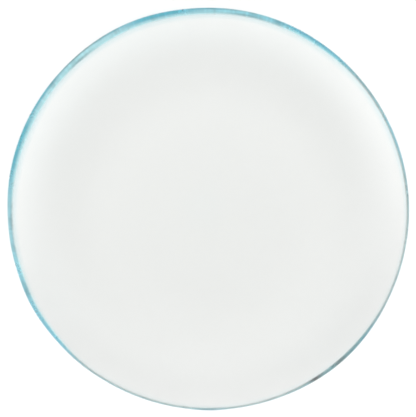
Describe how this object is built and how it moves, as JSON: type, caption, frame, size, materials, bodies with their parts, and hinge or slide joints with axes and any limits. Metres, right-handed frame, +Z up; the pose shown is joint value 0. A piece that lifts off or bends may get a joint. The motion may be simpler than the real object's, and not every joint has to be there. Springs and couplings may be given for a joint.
{
  "type": "watch glass",
  "caption": "Shallow round dish of clear glass with a softened edge, for holding a small sample, evaporating a liquid or covering a beaker.",
  "frame": {"origin": "middle of the small flat under the dish, on the surface that it stands on", "axes": "+Z up, along the dish's axis; the dish is round, so +X and +Y may point any way"},
  "size_m": [0.1, 0.1, 0.0134],
  "materials": {
    "clear_glass": "clear and polished, aqua where seen through its edge"
  },
  "bodies": {
    "root": {"watch_glass": "clear_glass"}
  },
  "joints": []
}
